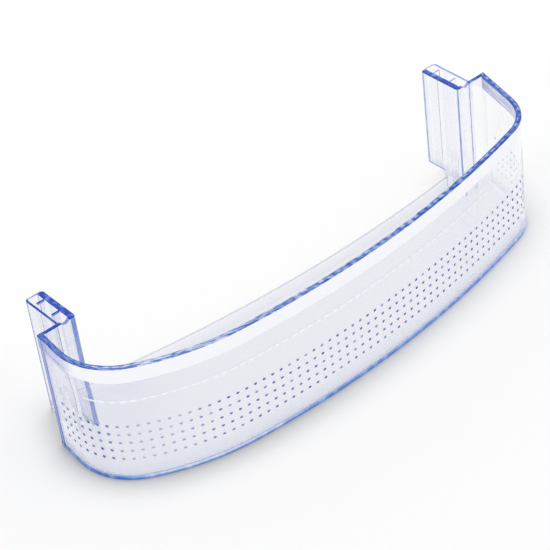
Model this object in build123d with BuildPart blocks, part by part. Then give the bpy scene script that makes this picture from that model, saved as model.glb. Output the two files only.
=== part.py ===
from build123d import *
import os
from math import acos, atan2, cos, degrees, hypot, radians, sin, tan

os.makedirs("parts", exist_ok=True)

# Fridge door shelf, a single clear moulding. X runs along the door, the bowed front wall faces -Y
# and the two brackets that hang on the door liner stand at +Y. All sizes are in mm.

# Plan of the rim, drawn between the two elbows where the side walls turn in towards the brackets
width = 480.0  # elbow to elbow
front_depth = 116.3  # elbow line to the foremost point of the front
front_bias = -41.0  # the foremost point lies left of the middle
front_radius = 855.0
left_ease_radius = 209.0  # wider curve that leads from the front into the left corner
left_ease_sweep = 25.0
left_corner_radius = 58.4
right_corner_radius = 49.4
left_lean = -4.9  # side wall angles, positive where the tray opens towards the door
right_lean = 14.3

# Section of the front and side walls
height = 114.6
wall = 2.3
draft = 0.4  # of the inner face
panel_inset = 0.4  # outer face between rim and foot
rim_width = 5.0
rim_height = 13.0
rim_slope = 2.0
rim_bevel = 1.0
line_drop = 33.8  # moulded line round the wall, below the rim
line_height = 1.6
foot_height = 3.0  # plain band round the bottom edge
floor = 2.5
cove = 2.5

# Band of sunk dots round the wall
dot_rows = 5
dot_row_pitch = 8.4
dot_lowest = 22.3
dot_pitch = 8.2
dot_margin = 16.0  # elbow to the first dot
dot_width = 2.6
dot_height = 2.2
dot_sunk = 0.8

# Brackets, the same at both ends
end_wall = 3.5
bracket_inset = 18.0  # elbow to the outer face of the bracket
bracket_width = 17.0
bracket_reach = 43.0  # behind the elbow line
bracket_inner = 5.5
bracket_outer = 2.0
bracket_back = 1.5
bracket_round = 3.0
rib_length = 7.0
rib = 1.5
rib_reach = (12.0, 32.5)
notch_radius = 4.0
notch_depth = 2.5
bracket_foot = 18.0  # bevel under the inner wall

# Low rear lip, bowed towards the front
lip = 2.0
lip_height = 13.4
lip_left = 36.0  # behind the elbow line at the left bracket, in the middle and at the right one
lip_middle = 9.1
lip_right = 17.6

elbow_x = width / 2
outer_x = elbow_x - bracket_inset
inner_x = outer_x - bracket_width
lip_x = inner_x + bracket_inner / 2
line_z = height - line_drop
rim_low = height - rim_height
overrun = 2 * rim_width


def side_run(reach, lean, corner, ease, ease_sweep):
    """Sweep of the front arc and length of the side wall that bring the rim to an elbow."""
    turn = radians(90 - lean)
    eased = radians(ease_sweep)
    big = front_radius - ease
    small = ease - corner
    across = big + small * cos(eased)
    along = small * sin(eased)
    target = reach * sin(turn) - corner - (front_depth - front_radius) * cos(turn)
    front = turn - acos(target / hypot(across, along)) - atan2(along, across)
    rise = front_radius - big * cos(front) - small * cos(front + eased) - corner * cos(turn)
    return degrees(front), (front_depth - rise) / sin(turn)


def inner_face(z):
    """Distance of the drafted inner face from the rim line."""
    return panel_inset + wall + (rim_low - z) * tan(radians(draft))


left_front, left_side = side_run(
    elbow_x + front_bias, left_lean, left_corner_radius, left_ease_radius, left_ease_sweep
)
right_front, right_side = side_run(
    elbow_x - front_bias, right_lean, right_corner_radius, right_corner_radius, 0
)
left_corner_sweep = 90 - left_lean - left_front - left_ease_sweep
right_corner_sweep = 90 - right_lean - right_front
left_ahead = Vector(sin(radians(left_lean)), -cos(radians(left_lean)))
left_inward = Vector(cos(radians(left_lean)), sin(radians(left_lean)))

# Rim line, run past both elbows so that the wall can be trimmed square to the end walls
with BuildLine() as rim:
    left_wall = PolarLine(
        Vector(-elbow_x, 0) - left_ahead * overrun, left_side + overrun, direction=left_ahead
    )
    left_corner = JernArc(left_wall @ 1, left_wall % 1, left_corner_radius, left_corner_sweep)
    left_ease = JernArc(left_corner @ 1, left_corner % 1, left_ease_radius, left_ease_sweep)
    front = JernArc(left_ease @ 1, left_ease % 1, front_radius, left_front + right_front)
    right_corner = JernArc(front @ 1, front % 1, right_corner_radius, right_corner_sweep)
    right_wall = PolarLine(right_corner @ 1, right_side + overrun, direction=right_corner % 1)

with BuildLine() as lip_line:
    ThreePointArc((-lip_x, lip_left), (0, lip_middle), (lip_x, lip_right))

with BuildPart() as shelf:
    # Wall with its foot, moulded line and thick rim, swept along the rim line
    with BuildSketch(Plane(rim.line @ 0, x_dir=left_inward, z_dir=left_ahead)) as section:
        with BuildLine():
            Polyline(
                (0, 0),
                (0, foot_height),
                (panel_inset, foot_height + panel_inset),
                (panel_inset, line_z - line_height / 2),
                (0, line_z),
                (panel_inset, line_z + line_height / 2),
                (panel_inset, rim_low - rim_slope),
                (0, rim_low),
                (0, height),
                (rim_width, height),
                (rim_width, rim_low),
                (inner_face(rim_low), rim_low),
                (inner_face(floor + cove), floor + cove),
                (inner_face(floor) + cove, floor),
                (inner_face(floor) + cove, 0),
                close=True,
            )
        make_face()
        chamfer(section.vertices().group_by(Axis.Y)[-1], rim_bevel)
    sweep(path=rim.line)
    split(bisect_by=Plane.XZ, keep=Keep.TOP)

    # Floor, out to the walls in front and to the lip behind
    with BuildSketch() as plate:
        with BuildLine():
            add(rim.line)
            Line(rim.line @ 1, rim.line @ 0)
        make_face()
        offset(amount=-wall)
        with Locations((0, -end_wall / 2)):
            Rectangle(2 * width, 2 * width, align=(Align.CENTER, Align.MIN), mode=Mode.SUBTRACT)
        with BuildLine():
            add(lip_line.line)
            Polyline(
                lip_line.line @ 1, (lip_x, -end_wall), (-lip_x, -end_wall), lip_line.line @ 0
            )
        make_face()
    extrude(amount=floor)

    # Rear lip
    with BuildSketch() as lip_plan:
        trace(lip_line.line, lip)
    extrude(amount=lip_height)

    # End walls and bracket channels with their half ribs
    with BuildSketch() as ends:
        with BuildLine():
            Polyline(
                (inner_x, -end_wall),
                (elbow_x - wall / 2, -end_wall),
                (elbow_x - wall / 2, 0),
                (outer_x, 0),
                (outer_x, bracket_reach),
                (inner_x, bracket_reach),
                close=True,
            )
        make_face()
        free_corners = ends.vertices().group_by(Axis.X)[0] + ends.vertices().group_by(Axis.Y)[-1][-1:]
        fillet(free_corners, bracket_round)
        with Locations((inner_x + bracket_inner, 0)):
            Rectangle(
                bracket_width - bracket_inner - bracket_outer,
                bracket_reach - bracket_back,
                align=Align.MIN,
                mode=Mode.SUBTRACT,
            )
        with Locations([(inner_x + bracket_inner / 2, y) for y in rib_reach]):
            Rectangle(
                bracket_inner / 2 + rib_length, rib, align=(Align.MIN, Align.CENTER)
            )
        mirror(about=Plane.YZ)
    extrude(amount=height)

    # Bevelled foot of each bracket behind the lip
    for side, lip_end in ((-1, lip_left), (1, lip_right)):
        start = lip_end + lip
        with BuildSketch(Plane.XZ.offset(-start)):
            with BuildLine():
                Polyline(
                    (side * inner_x, 0),
                    (side * inner_x, bracket_foot),
                    (side * outer_x, 0),
                    close=True,
                )
            make_face()
        extrude(amount=start - bracket_reach, mode=Mode.SUBTRACT)

    # Dip in the front wall of each channel
    channel_x = (inner_x + bracket_inner + outer_x - bracket_outer) / 2
    with BuildSketch(Plane.XZ.offset(end_wall)):
        with Locations((channel_x, height + notch_radius - notch_depth)):
            Circle(notch_radius)
        mirror(about=Plane.YZ)
    extrude(amount=-end_wall, mode=Mode.SUBTRACT)

    # Dots, in upright columns spread evenly along the wall
    run = rim.wire()
    columns = int((run.length - 2 * (overrun + dot_margin)) / dot_pitch) + 1
    dots = []
    for column in range(columns):
        place = 0.5 + (column - (columns - 1) / 2) * dot_pitch / run.length
        outward = (run % place).cross(Vector(0, 0, 1))
        for row in range(dot_rows):
            z = dot_lowest + row * dot_row_pitch
            spot = (run @ place) + outward * (dot_sunk - panel_inset) + Vector(0, 0, z)
            dots.append(Plane(spot, x_dir=run % place, z_dir=outward))
    with BuildSketch(*dots):
        Rectangle(dot_width, dot_height)
    extrude(amount=-2 * dot_sunk, mode=Mode.SUBTRACT)

# Frame at the middle of the underside
box = shelf.part.bounding_box()
shelf.part = shelf.part.moved(Location((-box.center().X, -box.center().Y, -box.min.Z)))

shelf.part.label = "door_shelf"
export_step(shelf.part, "parts/door_shelf.step")
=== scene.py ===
import bmesh
import bpy
from math import acos, atan2, cos, hypot, pi, radians, sin, sqrt, tan
from mathutils import Matrix, Vector


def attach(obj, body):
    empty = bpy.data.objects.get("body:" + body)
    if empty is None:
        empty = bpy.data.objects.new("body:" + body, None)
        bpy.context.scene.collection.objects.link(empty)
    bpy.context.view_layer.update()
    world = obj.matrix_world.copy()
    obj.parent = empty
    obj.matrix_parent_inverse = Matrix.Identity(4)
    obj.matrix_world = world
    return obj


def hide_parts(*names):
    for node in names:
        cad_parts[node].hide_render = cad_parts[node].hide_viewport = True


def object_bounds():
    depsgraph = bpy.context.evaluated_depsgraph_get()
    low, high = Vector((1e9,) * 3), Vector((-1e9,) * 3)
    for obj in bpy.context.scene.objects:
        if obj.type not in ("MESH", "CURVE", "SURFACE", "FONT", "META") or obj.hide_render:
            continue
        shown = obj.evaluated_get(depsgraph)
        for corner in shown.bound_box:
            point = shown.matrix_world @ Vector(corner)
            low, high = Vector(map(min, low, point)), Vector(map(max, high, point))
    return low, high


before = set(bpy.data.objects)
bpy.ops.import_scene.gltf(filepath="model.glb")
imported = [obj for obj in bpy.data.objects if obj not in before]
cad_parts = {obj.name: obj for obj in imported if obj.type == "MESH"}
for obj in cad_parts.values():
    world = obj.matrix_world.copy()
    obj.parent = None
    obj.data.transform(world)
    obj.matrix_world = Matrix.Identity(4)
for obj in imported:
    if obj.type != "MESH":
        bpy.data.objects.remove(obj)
cad_box = [list(corner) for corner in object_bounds()]

MM = 0.001  # in metres

# Sizes of the moulding in mm, the same as in the solid model
WIDTH = 480.0
FRONT_DEPTH = 116.3
FRONT_BIAS = -41.0
FRONT_RADIUS = 855.0
LEFT_EASE_RADIUS = 209.0
LEFT_EASE_SWEEP = 25.0
LEFT_CORNER_RADIUS = 58.4
RIGHT_CORNER_RADIUS = 49.4
LEFT_LEAN = -4.9
RIGHT_LEAN = 14.3
HEIGHT = 114.6
WALL = 2.3
DRAFT = 0.4
PANEL_INSET = 0.4
RIM_WIDTH = 5.0
RIM_HEIGHT = 13.0
RIM_SLOPE = 2.0
LINE_DROP = 33.8
LINE_HEIGHT = 1.6
FOOT_HEIGHT = 3.0
FLOOR = 2.5
COVE = 2.5
DOT_ROWS = 5
DOT_ROW_PITCH = 8.4
DOT_LOWEST = 22.3
DOT_PITCH = 8.2
DOT_MARGIN = 16.0
DOT_SUNK = 0.8
END_WALL = 3.5
BRACKET_INSET = 18.0
BRACKET_WIDTH = 17.0
BRACKET_REACH = 43.0
BRACKET_INNER = 5.5
BRACKET_OUTER = 2.0
BRACKET_BACK = 1.5
BRACKET_ROUND = 3.0
BRACKET_FOOT = 18.0
RIB_LENGTH = 7.0
RIB = 1.5
RIB_REACH = (12.0, 32.5)
NOTCH_RADIUS = 4.0
NOTCH_DEPTH = 2.5
LIP = 2.0
LIP_HEIGHT = 13.4
LIP_LEFT = 36.0
LIP_MIDDLE = 9.1
LIP_RIGHT = 17.6

# Finer detail than the solid model has
RIM_ROUND = 1.2
EDGE_ROUND = 0.5
FOOT_EDGE = 0.3
LINE_PROUD = 0.15
DOT_RADIUS = 1.45
ELBOW_BAND = 7.0  # of the side wall, tinted by the end wall behind it
ELBOW_STRIPE = 2.6  # from the elbow to the light stripe in it
FOOT_CLEAR = 72.0  # length of the right side wall with a clear foot
SHADE_LENGTH = 130.0  # of the shaded inside of the rim, from the right elbow
FOOT_LINE = 0.3  # width and height of the tinted edge of the bracket's bevelled foot
FOOT_LINE_RISE = 2.2
RIB_GLOW = 2.0  # tinted height of the left ribs below their tops
PLATE_INSET = WALL + 1.0  # from the rim line to the floor plate's edge, which the wall's cove covers
STEP = 0.02  # between faces that would otherwise lie in one plane where two solids are joined
MERGE = STEP / 10  # distance at which points become one
OVERCUT = 1.0  # by which a cut reaches past what it cuts
NOTCH_OVERCUT = 0.2  # the same for the dip, into the channel

# Fineness of the mesh
CELL = 4  # steps along each side of the cell round a dot
DOT_SIDES = 4 * CELL
ROUND_STEPS = 6
COVE_STEPS = 5
PLATE_STEPS = 120
LIP_STEPS = 80
NOTCH_SIDES = 24
EDGE_STEPS = 3
ROUNDED_ANGLE = 1.0  # in radians, from which the edges of a top are rounded
SHARP_ANGLE = 32.0  # in degrees, from which an edge isn't shaded smooth
FACE_WEIGHT = 60  # of large faces, when normals are shared

# Parts of a face's normal along an axis from which it counts as turned that way
TURNED_SOME = 0.1
TURNED_HALF = 0.5
TURNED_FULL = 0.9

ELBOW_X = WIDTH / 2
OUTER_X = ELBOW_X - BRACKET_INSET
INNER_X = OUTER_X - BRACKET_WIDTH
LIP_X = INNER_X + BRACKET_INNER / 2
LINE_Z = HEIGHT - LINE_DROP
RIM_LOW = HEIGHT - RIM_HEIGHT

# Finishes of the one plastic, by stretch of its surface
FINISHES = CLEAR, RIM, TOP, BAND, LINE, SHADED_DOT, PALE, SHADE, TINT, VIOLET, FOOT = range(11)


def side_run(reach, lean, corner, ease, ease_sweep):
    """Sweep of the front arc and length of the side wall that bring the rim to an elbow."""
    turn = radians(90 - lean)
    eased = radians(ease_sweep)
    big = FRONT_RADIUS - ease
    small = ease - corner
    across = big + small * cos(eased)
    along = small * sin(eased)
    target = reach * sin(turn) - corner - (FRONT_DEPTH - FRONT_RADIUS) * cos(turn)
    front = turn - acos(target / hypot(across, along)) - atan2(along, across)
    rise = FRONT_RADIUS - big * cos(front) - small * cos(front + eased) - corner * cos(turn)
    return front, (FRONT_DEPTH - rise) / sin(turn)


def rim_runs():
    """Length and bend of each stretch of the rim line, from the left elbow to the right one."""
    left_front, left_side = side_run(
        ELBOW_X + FRONT_BIAS, LEFT_LEAN, LEFT_CORNER_RADIUS, LEFT_EASE_RADIUS, LEFT_EASE_SWEEP
    )
    right_front, right_side = side_run(
        ELBOW_X - FRONT_BIAS, RIGHT_LEAN, RIGHT_CORNER_RADIUS, RIGHT_CORNER_RADIUS, 0
    )
    left_corner = radians(90 - LEFT_LEAN - LEFT_EASE_SWEEP) - left_front
    right_corner = radians(90 - RIGHT_LEAN) - right_front
    arcs = [
        (LEFT_CORNER_RADIUS, left_corner),
        (LEFT_EASE_RADIUS, radians(LEFT_EASE_SWEEP)),
        (FRONT_RADIUS, left_front + right_front),
        (RIGHT_CORNER_RADIUS, right_corner),
    ]
    return [(left_side, 0)] + [(radius * sweep, 1 / radius) for radius, sweep in arcs] + [(right_side, 0)]


RUNS = rim_runs()
LENGTH = sum(length for length, _ in RUNS)


def rim_at(distance):
    """Point and heading of the rim line at a distance from the left elbow."""
    x, y, heading = -ELBOW_X, 0.0, radians(LEFT_LEAN - 90)
    for length, bend in RUNS:
        run = min(distance, length)
        if bend:
            x += (sin(heading + run * bend) - sin(heading)) / bend
            y -= (cos(heading + run * bend) - cos(heading)) / bend
            heading += run * bend
        else:
            x += run * cos(heading)
            y += run * sin(heading)
        distance -= run
    return x, y, heading


def inner_face(z):
    """Distance of the drafted inner face from the rim line."""
    return PANEL_INSET + WALL + (RIM_LOW - z) * tan(radians(DRAFT))


def arc(x, y, radius, start, end, count):
    """Points of an arc, angles in degrees."""
    angles = [radians(start + (end - start) * i / count) for i in range(count + 1)]
    return [(x + radius * cos(a), y + radius * sin(a)) for a in angles]


def smooth_step(value, low, high):
    share = min(max((value - low) / (high - low), 0), 1)
    return share * share * (3 - 2 * share)


# The moulded line fades into the wall before both elbows, and is white with a painted highlight between its
# ends
LINE_FADE_LEFT = (56, 68)  # in mm from the left elbow
LINE_FADE_RIGHT = (145, 170)  # in mm from the right elbow
LINE_ENDS = (52, 142)  # in mm from the left elbow and from the right one


def line_share(distance):
    """How much of the moulded line stands out: all of it along the front, none at the elbows."""
    left = smooth_step(distance, *LINE_FADE_LEFT)
    return left * smooth_step(LENGTH - distance, *LINE_FADE_RIGHT)


# Section of the wall: the finish of each stretch and its points, as (distance from the rim line, height)
DOT_LEVELS = [DOT_LOWEST + DOT_ROW_PITCH * (i / CELL - 0.5) for i in range(CELL * DOT_ROWS + 1)]
PANEL = [FOOT_HEIGHT + PANEL_INSET, (FOOT_HEIGHT + DOT_LEVELS[0]) / 2] + DOT_LEVELS
STRETCHES = [
    (FOOT, [(FOOT_EDGE, 0), (0, FOOT_EDGE), (0, FOOT_HEIGHT)]),
    (CLEAR, [(PANEL_INSET, z) for z in PANEL]),
    (LINE, [(PANEL_INSET, LINE_Z - LINE_HEIGHT / 2), (PANEL_INSET - LINE_PROUD, LINE_Z)]),
    (CLEAR, [(PANEL_INSET, LINE_Z + LINE_HEIGHT / 2)]),
    (BAND, [(PANEL_INSET, RIM_LOW - RIM_SLOPE), (0, RIM_LOW), (0, RIM_LOW + RIM_HEIGHT / 3)]),
    (RIM, arc(RIM_ROUND, HEIGHT - RIM_ROUND, RIM_ROUND, 180, 90, ROUND_STEPS)),
    (RIM, [(RIM_WIDTH * i / 6, HEIGHT) for i in (2, 3, 4)]),
    (RIM, arc(RIM_WIDTH - RIM_ROUND, HEIGHT - RIM_ROUND, RIM_ROUND, 90, 0, ROUND_STEPS)[:-1]),
    (SHADE, [(RIM_WIDTH, HEIGHT - RIM_ROUND)]),
    (VIOLET, [(RIM_WIDTH, RIM_LOW + 2 * EDGE_ROUND)]),
    (SHADE, [(RIM_WIDTH, RIM_LOW + EDGE_ROUND), (RIM_WIDTH - EDGE_ROUND, RIM_LOW)]),
    (CLEAR, [(inner_face(RIM_LOW), RIM_LOW), (inner_face(HEIGHT / 2), HEIGHT / 2)]),
    (PALE, arc(inner_face(FLOOR) + COVE, FLOOR + COVE + STEP, COVE, 180, 270, COVE_STEPS)[:-1]),
    (CLEAR, [(inner_face(FLOOR) + COVE, FLOOR + STEP), (inner_face(FLOOR) + COVE, 0)]),
]
SECTION = [point for _, points in STRETCHES for point in points]
SECTION_FINISH = [finish for finish, points in STRETCHES for _ in points]
DOTS_FROM = SECTION.index((PANEL_INSET, DOT_LEVELS[0]))
LINE_AT = SECTION.index((PANEL_INSET - LINE_PROUD, LINE_Z))

# Stations along the rim, in step with the columns of dots
COLUMNS = int((LENGTH - 2 * DOT_MARGIN) / DOT_PITCH) + 1
LEAD = (LENGTH - COLUMNS * DOT_PITCH) / 2
LEAD_STEPS = max(2, round(CELL * LEAD / DOT_PITCH))
STATIONS = [LEAD * i / LEAD_STEPS for i in range(LEAD_STEPS)]
STATIONS += [LEAD + DOT_PITCH * i / CELL for i in range(CELL * COLUMNS)]
STATIONS += [LENGTH - LEAD + LEAD * i / LEAD_STEPS for i in range(LEAD_STEPS + 1)]


def wall_point(distance, depth, z, square=False):
    """Point of the wall; square ones lie in the plane of the end walls."""
    x, y, heading = rim_at(distance)
    x -= depth * sin(heading)
    y += depth * cos(heading)
    if square:
        x -= (y + STEP) / tan(heading)
        y = -STEP
    return Vector((x, y, z)) * MM


def wall_finish(distance, j):
    """Finish of the section's stretch j: tinted at the left elbow, and clear past the stretch's ends."""
    finish = SECTION_FINISH[j]
    if distance < ELBOW_BAND and j < SECTION_FINISH.index(RIM):
        return TINT
    plain = {
        FOOT: distance > LENGTH - FOOT_CLEAR,
        LINE: distance < LINE_ENDS[0] or distance > LENGTH - LINE_ENDS[1],
        SHADE: distance < LENGTH - SHADE_LENGTH,
        VIOLET: distance < LENGTH - SHADE_LENGTH,
        PALE: distance < LENGTH - FOOT_CLEAR,
    }
    return CLEAR if plain.get(finish) else finish


def wall_mesh():
    """Wall with its rim, moulded line, foot and dots, and its place along and across the rim."""
    bm = bmesh.new()
    along = bm.verts.layers.float.new("along")
    across = bm.verts.layers.float.new("across")
    last = len(STATIONS) - 1
    count = len(SECTION)

    def add_point(distance, depth, z, place, square=False):
        point = bm.verts.new(wall_point(distance, depth, z, square))
        point[along], point[across] = place
        return point

    def in_dots(k, j):
        in_columns = LEAD_STEPS <= k < LEAD_STEPS + CELL * COLUMNS
        return in_columns and DOTS_FROM <= j < DOTS_FROM + CELL * DOT_ROWS

    grid = {}
    for k, distance in enumerate(STATIONS):
        for j, (depth, z) in enumerate(SECTION):
            inside_cell = in_dots(k, j) and (k - LEAD_STEPS) % CELL and (j - DOTS_FROM) % CELL
            if not inside_cell:
                if j == LINE_AT:
                    depth = PANEL_INSET - LINE_PROUD * line_share(distance)
                grid[k, j] = add_point(distance, depth, z, (distance, depth), k in (0, last))
    for k in range(last):
        for j in range(count):
            if not in_dots(k, j):
                n = (j + 1) % count
                face = bm.faces.new((grid[k, j], grid[k + 1, j], grid[k + 1, n], grid[k, n]))
                face.material_index = wall_finish(STATIONS[k + 1], j)
    for k in (0, last):
        ring = [grid[k, j] for j in range(count)]
        bm.faces.new(ring if k == 0 else ring[::-1])
    for column in range(COLUMNS):
        for row in range(DOT_ROWS):
            add_dot(bm, grid, add_point, column, row)
    return bm


# Rings of a dot, as (share of its radius, share of its depth)
DOT_RINGS = [(1.0, 0.0), (0.86, 0.42), (0.55, 0.8)]
# A dot has painted shade up to this height, as a share of its radius, and further up where the wall turns
# away
DARK_BELOW_FRONT = 0.1
DARK_BELOW_SIDE = 0.8
SIDE_WALL_END = 75.0
RIGHT_CORNER = (500.0, 562.0)


def add_dot(bm, grid, add_point, column, row):
    """Round dimple in the middle of its cell of the wall, with painted shade on its lower side."""
    k = LEAD_STEPS + CELL * column
    j = DOTS_FROM + CELL * row
    cell = [(k + i, j) for i in range(CELL)] + [(k + CELL, j + i) for i in range(CELL)]
    cell += [(k + CELL - i, j + CELL) for i in range(CELL)] + [(k, j + CELL - i) for i in range(CELL)]
    rim = [grid[at] for at in cell]
    distance = STATIONS[k] + DOT_PITCH / 2
    z = DOT_LOWEST + DOT_ROW_PITCH * row
    turn = 2 * pi / DOT_SIDES
    first = radians(225)  # towards the corner of the cell that comes first
    turned = distance < SIDE_WALL_END or RIGHT_CORNER[0] < distance < RIGHT_CORNER[1]
    dark_below = DARK_BELOW_SIDE if turned else DARK_BELOW_FRONT

    def finish(i, deep):
        dark = deep and sin(first + turn * (i + 0.5)) < dark_below
        return SHADED_DOT if dark else CLEAR

    for share, deep in DOT_RINGS:
        ring = []
        for i in range(DOT_SIDES):
            side = DOT_RADIUS * share * cos(first + turn * i)
            rise = DOT_RADIUS * share * sin(first + turn * i)
            ring.append(add_point(distance + side, PANEL_INSET + DOT_SUNK * deep, z + rise, (distance, z)))
        for i in range(DOT_SIDES):
            n = (i + 1) % DOT_SIDES
            face = bm.faces.new((rim[i], rim[n], ring[n], ring[i]))
            face.material_index = finish(i, deep)
        rim = ring
    tip = add_point(distance, PANEL_INSET + DOT_SUNK, z, (distance, z))
    for i in range(DOT_SIDES):
        face = bm.faces.new((rim[i], rim[(i + 1) % DOT_SIDES], tip))
        face.material_index = finish(i, 1)


def raise_faces(bm, faces, rise):
    """Extrudes faces upwards and gives their copies at the top."""
    moved = bmesh.ops.extrude_face_region(bm, geom=faces)["geom"]
    points = [part for part in moved if isinstance(part, bmesh.types.BMVert)]
    bmesh.ops.translate(bm, vec=(0, 0, rise * MM), verts=points)
    return [part for part in moved if isinstance(part, bmesh.types.BMFace)]


def round_top(bm, height):
    """Rounds the edges of the top face."""
    top = [e for e in bm.edges if all(abs(v.co.z - height * MM) < STEP * MM / 2 for v in e.verts)]
    top = [e for e in top if e.calc_face_angle(0) > ROUNDED_ANGLE]
    width = EDGE_ROUND * MM
    bmesh.ops.bevel(bm, geom=top, offset=width, segments=EDGE_STEPS, profile=0.5, affect="EDGES")
    bm.normal_update()


def lip_y(x):
    """Middle of the rear lip, an arc through its two ends and its middle."""
    (ax, ay), (bx, by), (cx, cy) = (-LIP_X, LIP_LEFT), (0, LIP_MIDDLE), (LIP_X, LIP_RIGHT)
    a, b, c = ax**2 + ay**2, bx**2 + by**2, cx**2 + cy**2
    d = 2 * (ax * (by - cy) + bx * (cy - ay) + cx * (ay - by))
    middle_x = (a * (by - cy) + b * (cy - ay) + c * (ay - by)) / d
    middle_y = (a * (cx - bx) + b * (ax - cx) + c * (bx - ax)) / d
    radius = hypot(ax - middle_x, ay - middle_y)
    return middle_y - sqrt(radius**2 - (x - middle_x) ** 2)


def plate_edge():
    """Front edge of the floor plate, inside the wall."""
    edge = []
    for i in range(PLATE_STEPS + 1):
        x, y, heading = rim_at(LENGTH * i / PLATE_STEPS)
        x -= PLATE_INSET * sin(heading)
        y += PLATE_INSET * cos(heading)
        if y < -END_WALL / 2:
            edge.append((x, y))
    return [(edge[0][0], -END_WALL / 2)] + edge + [(edge[-1][0], -END_WALL / 2)]


def tray_mesh():
    """Floor plate with the rear lip."""
    bm = bmesh.new()
    is_lip = bm.faces.layers.int.new("lip")

    def points(outline, shift=0.0):
        return [bm.verts.new((x * MM, (y + shift) * MM, 0)) for x, y in outline]

    lip_line = [(x, lip_y(x)) for x in (LIP_X * (2 * i / LIP_STEPS - 1) for i in range(LIP_STEPS + 1))]
    near = points(lip_line, -LIP / 2)
    far = points(lip_line, LIP / 2)
    turns = points([(LIP_X, -END_WALL / 2), (-LIP_X, -END_WALL / 2)])
    loop = points(plate_edge()) + turns[:1] + near[::-1] + turns[1:]
    edges = [bm.edges.new((loop[i - 1], loop[i])) for i in range(len(loop))]
    bmesh.ops.triangle_fill(bm, use_beauty=True, edges=edges)
    for i in range(len(near) - 1):
        face = bm.faces.new((near[i], near[i + 1], far[i + 1], far[i]))
        face[is_lip] = 1
    bmesh.ops.recalc_face_normals(bm, faces=bm.faces[:])
    raised = raise_faces(bm, bm.faces[:], FLOOR)
    bmesh.ops.recalc_face_normals(bm, faces=bm.faces[:])
    lip_base = [face for face in raised if face[is_lip]]
    raise_faces(bm, lip_base, LIP_HEIGHT - FLOOR)
    bmesh.ops.delete(bm, geom=lip_base, context="FACES")
    bmesh.ops.recalc_face_normals(bm, faces=bm.faces[:])
    round_top(bm, LIP_HEIGHT)
    for face in bm.faces:
        if min(face.normal.y, face.normal.z) > TURNED_SOME:
            face.material_index = VIOLET
    return bm


def end_plan(side):
    """Outline of an end wall with its bracket, and the hole of the channel with its half ribs."""
    r = BRACKET_ROUND
    back = BRACKET_REACH - r
    outline = arc(INNER_X + r, r - END_WALL, r, 180, 270, ROUND_STEPS)
    outline += [(INNER_X + BRACKET_INNER, -END_WALL)]
    outline += [(OUTER_X - BRACKET_OUTER - EDGE_ROUND, -END_WALL), (OUTER_X + EDGE_ROUND, -END_WALL)]
    outline += [(ELBOW_X - WALL / 2, -END_WALL), (ELBOW_X - WALL / 2, 0), (OUTER_X, 0)]
    outline += arc(OUTER_X - r, back, r, 0, 90, ROUND_STEPS)
    outline += arc(INNER_X + r, back, r, 90, 180, ROUND_STEPS)
    inner, outer = INNER_X + BRACKET_INNER, OUTER_X - BRACKET_OUTER
    hole = [(outer, 0), (outer, BRACKET_REACH - BRACKET_BACK), (inner, BRACKET_REACH - BRACKET_BACK)]
    for y in RIB_REACH[::-1]:
        hole += [(inner, y + RIB / 2), (inner + RIB_LENGTH, y + RIB / 2)]
        hole += [(inner + RIB_LENGTH, y - RIB / 2), (inner, y - RIB / 2)]
    hole += [(inner, 0)]
    return [[(side * x, y) for x, y in line] for line in (outline, hole)]


def end_finish(side, place, normal):
    """Finish of a face of an end: blue tops, violet corners and rib tops, and pale bands in front."""
    x, y = abs(place.x), place.y
    if normal.z > TURNED_SOME:
        thin = x > INNER_X + BRACKET_INNER and y > 0
        if y > BRACKET_REACH - BRACKET_BACK:
            return CLEAR
        return VIOLET if thin and side > 0 else TOP
    if abs(normal.z) > TURNED_SOME:
        return CLEAR
    on_rib = 0 < x - INNER_X - BRACKET_INNER < RIB_LENGTH and 0 < y < BRACKET_REACH - 2 * BRACKET_BACK
    to_front = normal.y < -TURNED_FULL
    if side < 0 and on_rib and to_front and place.z > HEIGHT - RIB_GLOW:
        return VIOLET
    slant = min(abs(normal.x), abs(normal.y))
    if slant > TURNED_SOME and y > 0:
        return VIOLET if normal.x < 0 else CLEAR
    if slant > TURNED_SOME or (to_front and x < INNER_X + BRACKET_INNER):
        return VIOLET if side < 0 or slant > TURNED_HALF else PALE
    before_outer_wall = OUTER_X - BRACKET_OUTER - EDGE_ROUND < x < OUTER_X + EDGE_ROUND
    return PALE if to_front and before_outer_wall else CLEAR


def end_mesh(side):
    """End wall and upright bracket channel."""
    bm = bmesh.new()
    edges = []
    for outline in end_plan(side):
        points = [bm.verts.new((x * MM, y * MM, STEP * MM)) for x, y in outline]
        edges += [bm.edges.new((points[i - 1], points[i])) for i in range(len(points))]
    bmesh.ops.triangle_fill(bm, use_beauty=True, edges=edges)
    raise_faces(bm, bm.faces[:], HEIGHT - 2 * STEP)
    bmesh.ops.recalc_face_normals(bm, faces=bm.faces[:])
    # A cut all round where the glow of the ribs starts
    whole = bm.verts[:] + bm.edges[:] + bm.faces[:]
    level = (0, 0, (HEIGHT - RIB_GLOW) * MM)
    bmesh.ops.bisect_plane(bm, geom=whole, plane_co=level, plane_no=(0, 0, 1))
    round_top(bm, HEIGHT - STEP)
    for face in bm.faces:
        face.material_index = end_finish(side, face.calc_center_median() / MM, face.normal)
    return bm


def bar_mesh(outline, start, end, finishes):
    """Bar along Y over an outline in X and Z, with a finish for each of its sides."""
    bm = bmesh.new()
    near = [bm.verts.new((x * MM, start * MM, z * MM)) for x, z in outline]
    far = [bm.verts.new((x * MM, end * MM, z * MM)) for x, z in outline]
    bm.faces.new(near)
    bm.faces.new(far[::-1])
    for i, finish in enumerate(finishes):
        face = bm.faces.new((near[i - 1], far[i - 1], far[i], near[i]))
        face.material_index = finish
    return bm


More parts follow.
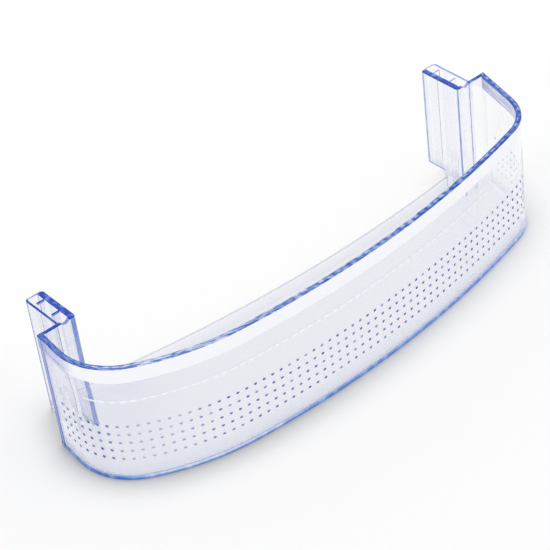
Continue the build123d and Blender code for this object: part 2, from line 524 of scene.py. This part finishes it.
def foot_cut(side, lip_end):
    """What the bevelled foot of a bracket cuts away behind the lip."""
    low = BRACKET_FOOT * (1 - FOOT_LINE / BRACKET_WIDTH)
    steep = [(INNER_X - FOOT_LINE, low + 2 * FOOT_LINE_RISE), (INNER_X + FOOT_LINE, low)]
    outline = [(INNER_X - FOOT_LINE, -OVERCUT)] + steep + [(OUTER_X, 0), (OUTER_X, -OVERCUT)]
    finishes = (PALE, PALE, VIOLET, PALE, PALE)
    outline = [(side * x, z) for x, z in outline]
    return bar_mesh(outline, lip_end + LIP, BRACKET_REACH + OVERCUT, finishes)


def notch_cut(side):
    """What the dip in the front wall of a channel cuts away."""
    x = side * (INNER_X + BRACKET_INNER + OUTER_X - BRACKET_OUTER) / 2
    z = HEIGHT + NOTCH_RADIUS - NOTCH_DEPTH
    ring = arc(x, z, NOTCH_RADIUS, 0, 360 - 360 / NOTCH_SIDES, NOTCH_SIDES - 1)
    return bar_mesh(ring, -END_WALL - OVERCUT, NOTCH_OVERCUT, [VIOLET] * len(ring))


def make_object(name, bm):
    """Object of a mesh, with a place for each finish."""
    bmesh.ops.recalc_face_normals(bm, faces=bm.faces[:])
    data = bpy.data.meshes.new(name)
    bm.to_mesh(data)
    bm.free()
    for _ in FINISHES:
        data.materials.append(None)
    obj = bpy.data.objects.new(name, data)
    bpy.context.collection.objects.link(obj)
    return obj


def combine(base, other, operation):
    """Joins another object to the base or cuts it away, and uses it up."""
    step = base.modifiers.new("step", "BOOLEAN")
    step.operation = operation
    step.solver = "EXACT"
    step.object = other
    bpy.context.view_layer.update()
    worked_out = base.evaluated_get(bpy.context.evaluated_depsgraph_get())
    done = bpy.data.meshes.new_from_object(worked_out)
    base.modifiers.clear()
    bm = bmesh.new()
    bm.from_mesh(done)
    bmesh.ops.remove_doubles(bm, verts=bm.verts[:], dist=MERGE * MM)
    bmesh.ops.dissolve_degenerate(bm, edges=bm.edges[:], dist=MERGE * MM)
    bm.to_mesh(done)
    bm.free()
    base.data = done
    bpy.data.objects.remove(other)


def centre(obj):
    """Moves the mesh to the middle of the solid model's box."""
    middle = Vector(cad_box[0]) / 2 + Vector(cad_box[1]) / 2
    xs = [v.co.x for v in obj.data.vertices]
    ys = [v.co.y for v in obj.data.vertices]
    shift = (middle.x - (min(xs) + max(xs)) / 2, middle.y - (min(ys) + max(ys)) / 2, 0)
    obj.data.transform(Matrix.Translation(shift))


def shelf_moulding():
    """The whole shelf as one closed mesh."""
    shelf = make_object("shelf_moulding", wall_mesh())
    combine(shelf, make_object("tray", tray_mesh()), "UNION")
    for side, lip_end in ((-1, LIP_LEFT), (1, LIP_RIGHT)):
        end = make_object("end", end_mesh(side))
        combine(end, make_object("foot_cut", foot_cut(side, lip_end)), "DIFFERENCE")
        combine(end, make_object("notch_cut", notch_cut(side)), "DIFFERENCE")
        combine(shelf, end, "UNION")
    centre(shelf)
    for face in shelf.data.polygons:
        face.use_smooth = True
    shelf.data.set_sharp_from_angle(angle=radians(SHARP_ANGLE))
    weigh = shelf.modifiers.new("weigh", "WEIGHTED_NORMAL")
    weigh.keep_sharp = True
    weigh.weight = FACE_WEIGHT
    return shelf


def new_material(name):
    mat = bpy.data.materials.new(name)
    mat.use_nodes = True
    return mat


def shader(mat):
    return mat.node_tree.nodes["Principled BSDF"]


def link(mat, value, socket):
    mat.node_tree.links.new(value, shader(mat).inputs[socket])


def add_node(mat, kind, sockets):
    """Node of a kind, with its inputs set to values or linked to other nodes."""
    made = mat.node_tree.nodes.new("ShaderNode" + kind)
    for name, value in sockets.items():
        if isinstance(value, bpy.types.NodeSocket):
            mat.node_tree.links.new(value, made.inputs[name])
        else:
            made.inputs[name].default_value = value
    return made


def calculate(mat, operation, first, second=0.0):
    made = add_node(mat, "Math", {0: first, 1: second})
    made.operation = operation
    return made.outputs["Value"]


def product(mat, first, second):
    return calculate(mat, "MULTIPLY", first, second)


def total(mat, first, *others):
    for other in others:
        first = calculate(mat, "ADD", first, other)
    return first


def distance_from(mat, middle, value):
    return calculate(mat, "ABSOLUTE", calculate(mat, "SUBTRACT", value, middle))


def ease(mat, value, reach, start=0.0, end=1.0):
    """Number that goes smoothly from start to end as the value goes through a reach."""
    limits = {"From Min": reach[0], "From Max": reach[1], "To Min": start, "To Max": end}
    made = add_node(mat, "MapRange", {"Value": value} | limits)
    made.interpolation_type = "SMOOTHSTEP"
    return made.outputs["Result"]


def attribute(mat, name):
    made = add_node(mat, "Attribute", {})
    made.attribute_name = name
    return made.outputs["Fac"]


def by_rim(mat, reach, start=0.0, end=1.0):
    """Number that goes from start to end over a reach of the rim, in mm from the left elbow."""
    return ease(mat, attribute(mat, "along"), reach, start, end)


def between(mat, rise, fall, top=1.0):
    """Number that rises from 0 over one reach of the rim and falls back over another."""
    return product(mat, by_rim(mat, rise), by_rim(mat, fall, top, 0))


def object_place(mat):
    return add_node(mat, "TexCoord", {}).outputs["Object"]


def place_on(mat, axis):
    """Place along an axis of the shared frame, in metres."""
    return add_node(mat, "SeparateXYZ", {"Vector": object_place(mat)}).outputs[axis]


def by_place(mat, axis, reach, start=0.0, end=1.0):
    """Number that goes from start to end over a reach of an axis, in mm."""
    return ease(mat, place_on(mat, axis), [limit * MM for limit in reach], start, end)


def pair(mat, x, y):
    return add_node(mat, "CombineXYZ", {"X": x, "Y": y}).outputs["Vector"]


def rim_place(mat, along_scale, across_scale):
    """Place along and across the rim, scaled."""
    along = product(mat, attribute(mat, "along"), along_scale)
    return pair(mat, along, product(mat, attribute(mat, "across"), across_scale))


def noise(mat, vector, scale=1.0):
    made = add_node(mat, "TexNoise", {"Vector": vector, "Scale": scale, "Detail": 2.0})
    return made.outputs["Fac"]


def patches(mat, scale, reach, start=0.0, end=1.0):
    """Soft patches all over, from start to end as the noise goes through a reach."""
    return ease(mat, noise(mat, object_place(mat), scale), reach, start, end)


def ramp(mat, value, stops):
    """Colour that goes through the stops, each with its place from 0 to 1."""
    made = add_node(mat, "ValToRGB", {"Fac": value})
    elements = made.color_ramp.elements
    for _ in stops[2:]:
        elements.new(1.0)
    for element, (place, colour) in zip(elements, stops):
        element.position = place
        element.color = (*colour, 1)
    return made.outputs["Color"]


def by_table(mat, table):
    """Number that a table gives for the distance from the left elbow."""
    stops = [(distance / LENGTH, (value, value, value)) for distance, value in table]
    return ramp(mat, calculate(mat, "DIVIDE", attribute(mat, "along"), LENGTH), stops)


def colour_between(mat, value, *colours):
    """Base colour that goes evenly from the first to the last."""
    stops = [(i / (len(colours) - 1), colour) for i, colour in enumerate(colours)]
    link(mat, ramp(mat, value, stops), "Base Color")


PLASTIC_IOR = 1.54
BODY_COLOUR = (0.0, 0.17, 0.83, 1)
BODY_DENSITY = 4.0
SHINE = 0.5
LOW_SHINE = 0.1  # of the deep blue edges


def plastic(name, transmission=1.0, roughness=0.0, shine=SHINE):
    """The shelf's clear blue plastic, or a tinted or frosted stretch of it."""
    mat = new_material(name)
    bsdf = shader(mat)
    bsdf.inputs["Transmission Weight"].default_value = transmission
    bsdf.inputs["Roughness"].default_value = roughness
    bsdf.inputs["Specular IOR Level"].default_value = shine
    bsdf.inputs["IOR"].default_value = PLASTIC_IOR
    absorb = add_node(mat, "VolumeAbsorption", {"Color": BODY_COLOUR, "Density": BODY_DENSITY})
    output = mat.node_tree.nodes["Material Output"]
    mat.node_tree.links.new(absorb.outputs["Volume"], output.inputs["Volume"])
    return mat


# Clear wall, in mm: the painted shade above the floor and at the left, the satin bottom and the depth of
# its waves
SHADE_ABOVE_FLOOR = (0, 30)
SHADE_AT_LEFT = (-220, -170)
SATIN = (6, 20)
WAVE_DEPTH = 0.1


def clear_plastic():
    """Polished wall, a little wavy, with painted shade towards the foot and the left, where the shaded
    floor shows through.
    """
    mat = plastic("clear_plastic")
    # Painted shade: the wall goes darker towards the foot and at the left
    painted_shade = product(mat, by_place(mat, "Z", SHADE_ABOVE_FLOOR), by_place(mat, "X", SHADE_AT_LEFT, 0.5, 1))
    colour_between(mat, painted_shade, (0.87, 0.88, 0.93), (0.975, 0.975, 0.98))
    link(mat, by_place(mat, "Z", SATIN, 0.2, 0), "Roughness")
    waves = noise(mat, object_place(mat), 28.0)
    bump = add_node(mat, "Bump", {"Height": waves, "Strength": 1.0, "Distance": WAVE_DEPTH * MM})
    link(mat, bump.outputs["Normal"], "Normal")
    return mat


def dash_wave(mat, reach):
    """Uneven dashes along the rim at the pitch of the dots, from 0 to 1."""
    wave = calculate(mat, "SINE", product(mat, attribute(mat, "along"), 2 * pi / DOT_PITCH))
    uneven = noise(mat, rim_place(mat, 0.13, 0.3))
    return ease(mat, total(mat, wave, product(mat, uneven, 2.4)), reach)


def rim_strokes(mat):
    """Slanting strokes along the rim, from -0.5 to 0.5."""
    across = attribute(mat, "across")
    slant = total(mat, product(mat, attribute(mat, "along"), 0.11), product(mat, across, 0.5))
    place = pair(mat, slant, product(mat, across, 0.8))
    return ease(mat, noise(mat, place), (0.38, 0.62), -0.5, 0.5)


# How light the rim's top is, by distance from the left elbow, how clear the chain of light dashes along its
# middle and the dashes across all of it
RIM_LIGHT = [(0, 0.3), (50, 0.3), (80, 0.5), (110, 0.7), (180, 0.7), (215, 0.4), (330, 0.3), (430, 0.2)]
RIM_CHAIN = [(0, 0.1), (45, 0.15), (70, 0.5), (120, 0.4), (180, 0.1), (300, 0.1), (400, 0.3), (520, 0.35)]
RIM_DASHES = [(200, 0), (240, 0.22), (350, 0.22), (430, 0.12), (520, 0.05)]
CHAIN_EDGE = (0.3, 1.4)  # from the middle of the rim
INNER_HALF = (0.55 * RIM_WIDTH, 0.8 * RIM_WIDTH)  # across the rim, paler along the front
PALE_RISE = (150, 200)
PALE_FALL = (350, 480)


def blue_rim():
    """Rim's top: deep blue in slanting strokes, with light dashes, paler inside along the front."""
    mat = plastic("blue_rim", 0.15, 0.1, LOW_SHINE)
    across = attribute(mat, "across")
    middle = ease(mat, distance_from(mat, RIM_WIDTH / 2, across), CHAIN_EDGE, 1, 0)
    chain = product(mat, middle, by_table(mat, RIM_CHAIN))
    dashes = total(mat, chain, by_table(mat, RIM_DASHES))
    inner = ease(mat, across, INNER_HALF, 0, 0.5)
    light = total(
        mat,
        by_table(mat, RIM_LIGHT),
        product(mat, rim_strokes(mat), 0.6),
        product(mat, dashes, dash_wave(mat, (0.4, 1.5))),
        product(mat, between(mat, PALE_RISE, PALE_FALL), inner),
    )
    colour_between(mat, light, (0.01, 0.065, 0.42), (0.12, 0.22, 0.55), (0.62, 0.68, 0.86))
    return mat


def blue_top():
    """Tops of the end walls and brackets: deep blue in uneven patches."""
    mat = plastic("blue_top", 0.15, 0.1, LOW_SHINE)
    light = patches(mat, 140.0, (0.45, 0.75))
    colour_between(mat, light, (0.01, 0.06, 0.45), (0.2, 0.32, 0.72))
    return mat


# Along the rim: where the painted reflection on the rim's face comes in and where it goes
BAND_RISE = (22, 55)
BAND_FALL = (LENGTH - 70, LENGTH - 40)


def reflected_band():
    """White face of the rim, a painted reflection of a bright light, clear towards the elbows."""
    mat = plastic("reflected_band")
    shader(mat).inputs["Base Color"].default_value = (0.94, 0.94, 0.96, 1)
    white = product(mat, between(mat, BAND_RISE, BAND_FALL), patches(mat, 25.0, (0.3, 0.7), 0.95, 1))
    link(mat, ease(mat, white, (0, 1), 1, 0.08), "Transmission Weight")
    return mat


# Where the painted highlight of the moulded line dims
LINE_DIMS = (300, 420)  # along the rim


def moulded_line_highlight():
    """Painted highlight of the moulded line: soft white round the front, uneven along its length."""
    mat = plastic("moulded_line_highlight", 0.1, 0.2)
    dashes = product(mat, dash_wave(mat, (0.2, 1.8)), by_rim(mat, LINE_DIMS, 1, 0.6))
    colour_between(mat, dashes, (0.81, 0.82, 0.87), (0.95, 0.95, 0.97))
    return mat


# Along the rim: where the dots get more even, and the left corner with its paler ones
DOTS_EVEN = (480, 520)
CORNER_RISE = (60, 85)
CORNER_FALL = (110, 170)


def dot_shade():
    """Painted shade on the lower side of the dots, which differs from dot to dot and is paler round the
    left corner.
    """
    mat = plastic("dot_shade", 0.4, 0.1)
    uneven = ease(mat, noise(mat, rim_place(mat, 1.7, 1.3)), (0.45, 0.75))
    uneven = product(mat, uneven, by_rim(mat, DOTS_EVEN, 0.8, 0.2))
    light = total(mat, uneven, between(mat, CORNER_RISE, CORNER_FALL, 0.75))
    colour_between(mat, light, (0.045, 0.1, 0.42), (0.55, 0.6, 0.78))
    return mat


def pale_edge():
    """Faces of the brackets that the light fills."""
    mat = plastic("pale_edge", 0.0, 0.3)
    light = patches(mat, 60.0, (0.35, 0.65))
    colour_between(mat, light, (0.92, 0.93, 0.98), (0.98, 0.98, 1.0))
    return mat


# Along the rim: where the shaded inside comes in, and where it gets deeper
SHADE_START = (LENGTH - SHADE_LENGTH, LENGTH - 0.6 * SHADE_LENGTH)
SHADE_DEEPENS = (LENGTH - 45, LENGTH - 5)


def shaded_edge():
    """Grey violet inside of the rim in long streaks, deeper towards the right elbow."""
    mat = plastic("shaded_edge")
    along = product(mat, attribute(mat, "along"), 0.04)
    streaks = noise(mat, pair(mat, along, product(mat, place_on(mat, "Z"), 500.0)))
    light = total(
        mat,
        ease(mat, streaks, (0.35, 0.65), 0, 0.3),
        by_rim(mat, SHADE_DEEPENS, 0.2, 0),
        by_rim(mat, SHADE_START, 0.8, 0),
    )
    colour_between(mat, light, (0.33, 0.39, 0.62), (0.84, 0.86, 0.91), (0.97, 0.97, 0.98))
    link(mat, by_rim(mat, SHADE_START, 1, 0.2), "Transmission Weight")
    link(mat, by_rim(mat, SHADE_START, 0, 0.15), "Roughness")
    return mat


STRIPE_EDGE = (0.5, 1.3)  # from the middle of the stripe


def tinted_edge():
    """Upright edge at the left elbow, deeper blue towards the foot, with a light stripe."""
    mat = plastic("tinted_edge", 0.2, 0.1, LOW_SHINE)
    off_stripe = distance_from(mat, ELBOW_STRIPE, attribute(mat, "along"))
    stripe = ease(mat, off_stripe, STRIPE_EDGE, 0.4, 0)
    light = total(mat, stripe, by_place(mat, "Z", (0, HEIGHT), 0, 0.2))
    colour_between(mat, light, (0.03, 0.09, 0.48), (0.6, 0.68, 0.92))
    return mat


VIOLET_PALES = (-150, 0)  # along X


def violet_edge():
    """Thin edges that show a light violet blue in soft patches, paler towards the right."""
    mat = plastic("violet_edge", 0.1, 0.1)
    light = total(mat, patches(mat, 90.0, (0.35, 0.7), 0, 0.5), by_place(mat, "X", VIOLET_PALES, 0, 0.5))
    colour_between(mat, light, (0.17, 0.26, 0.6), (0.28, 0.38, 0.74), (0.43, 0.52, 0.82))
    return mat


# How light the foot is, and how much lighter its upper half with a painted highlight, by distance from the
# left elbow
FOOT_LIGHT = [(0, 0), (70, 0.05), (110, 0.25), (190, 0.25), (240, 0.12), (450, 0.12), (500, 0.05)]
FOOT_HIGHLIGHT = [(0, 0), (70, 0.1), (110, 0.6), (200, 0.5), (260, 0.15), (450, 0.2), (520, 0.6)]
UPPER_HALF = (0.4 * FOOT_HEIGHT, 0.75 * FOOT_HEIGHT)


def blue_foot():
    """Bright blue bottom edge with lighter streaks and a painted highlight along its upper half."""
    mat = plastic("blue_foot", 0.1, 0.1, LOW_SHINE)
    streaks = noise(mat, pair(mat, attribute(mat, "along"), place_on(mat, "Z")), 0.09)
    light = total(
        mat,
        ease(mat, streaks, (0.42, 0.7), 0, 0.35),
        by_table(mat, FOOT_LIGHT),
        product(mat, by_place(mat, "Z", UPPER_HALF), by_table(mat, FOOT_HIGHLIGHT)),
    )
    colour_between(mat, light, (0.03, 0.12, 0.58), (0.27, 0.46, 0.86), (0.72, 0.8, 0.95))
    return mat


# Studio, in mm
FLOOR_REACH = 4000.0
FLOOR_DROP = 0.1  # below the shelf
SHADOW_REACH = 40.0
SHADOW_FADES = (-200, 200)  # along X
BEHIND = (0, 70)  # along Y
BESIDE = (-250, -170)  # along X, at the left
WORLD_STRENGTH = 1.08


def floor_paint():
    """Pale floor that stays white behind the shelf and keeps its shadow in front."""
    mat = new_material("studio_floor")
    bsdf = shader(mat)
    bsdf.inputs["Roughness"].default_value = 0.9
    bsdf.inputs["Specular IOR Level"].default_value = 0.0
    open_sky = add_node(mat, "AmbientOcclusion", {"Distance": SHADOW_REACH * MM}).outputs["AO"]
    shadow = by_place(mat, "X", SHADOW_FADES, 0.05, 0.5)
    link(mat, ease(mat, open_sky, (0, 1), shadow, 0.92), "Base Color")
    rays = add_node(mat, "LightPath", {}).outputs
    through = calculate(mat, "MAXIMUM", rays["Is Glossy Ray"], rays["Is Transmission Ray"])
    behind = product(mat, by_place(mat, "Y", BEHIND), by_place(mat, "X", BESIDE, 0, 0.7))
    direct = product(mat, rays["Is Camera Ray"], behind)
    share = total(mat, direct, product(mat, through, 0.95))
    white = add_node(mat, "Emission", {"Strength": 1.0})
    mix = add_node(mat, "MixShader", {"Fac": share, 1: bsdf.outputs["BSDF"], 2: white.outputs["Emission"]})
    output = mat.node_tree.nodes["Material Output"]
    mat.node_tree.links.new(mix.outputs["Shader"], output.inputs["Surface"])
    return mat


def studio_floor():
    """Floor under the shelf, which is no part of it."""
    reach = FLOOR_REACH * MM
    corners = [(-reach, -reach, 0), (reach, -reach, 0), (reach, reach, 0), (-reach, reach, 0)]
    data = bpy.data.meshes.new("studio_floor")
    data.from_pydata(corners, [], [(0, 1, 2, 3)])
    data.materials.append(floor_paint())
    plane = bpy.data.objects.new("studio_floor", data)
    plane.location.z = -FLOOR_DROP * MM
    bpy.context.collection.objects.link(plane)


def studio_light():
    """Even white surroundings."""
    scene = bpy.context.scene
    scene.world = scene.world or bpy.data.worlds.new("studio")
    scene.world.use_nodes = True
    background = scene.world.node_tree.nodes["Background"]
    background.inputs["Color"].default_value = (1, 1, 1, 1)
    background.inputs["Strength"].default_value = WORLD_STRENGTH


def photo_camera():
    """Camera at the photograph's view."""
    azimuth, elevation, roll = radians(-35.304), radians(38.047), radians(-7.923)
    distance = 1.79374
    target = Vector((0.01790, 0.07497, 0))
    image_width, focal_length, sensor = 550, 2064.1, 36
    back = Vector((sin(azimuth) * cos(elevation), -cos(azimuth) * cos(elevation), sin(elevation)))
    level = Vector((cos(azimuth), sin(azimuth), 0))
    upright = back.cross(level)
    right = cos(roll) * level + sin(roll) * upright
    up = -sin(roll) * level + cos(roll) * upright
    data = bpy.data.cameras.new("camera")
    data.sensor_width = sensor
    data.lens = focal_length / image_width * sensor
    data.clip_end = 20
    camera = bpy.data.objects.new("camera", data)
    turn = Matrix((right, up, back)).transposed().to_4x4()
    camera.matrix_world = Matrix.Translation(target + back * distance) @ turn
    bpy.context.collection.objects.link(camera)
    bpy.context.scene.camera = camera


MAKERS = {
    CLEAR: clear_plastic,
    RIM: blue_rim,
    TOP: blue_top,
    BAND: reflected_band,
    LINE: moulded_line_highlight,
    SHADED_DOT: dot_shade,
    PALE: pale_edge,
    SHADE: shaded_edge,
    TINT: tinted_edge,
    VIOLET: violet_edge,
    FOOT: blue_foot,
}
shelf = shelf_moulding()
for finish, make in MAKERS.items():
    shelf.data.materials[finish] = make()
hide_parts("door_shelf")
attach(shelf, "root")

studio_floor()
studio_light()
photo_camera()
scene = bpy.context.scene
scene.view_settings.view_transform = "Standard"
# Light goes many times to and fro inside the clear walls
scene.cycles.max_bounces = 160
scene.cycles.transmission_bounces = 160
scene.cycles.glossy_bounces = 64
scene.cycles.blur_glossy = 0.1
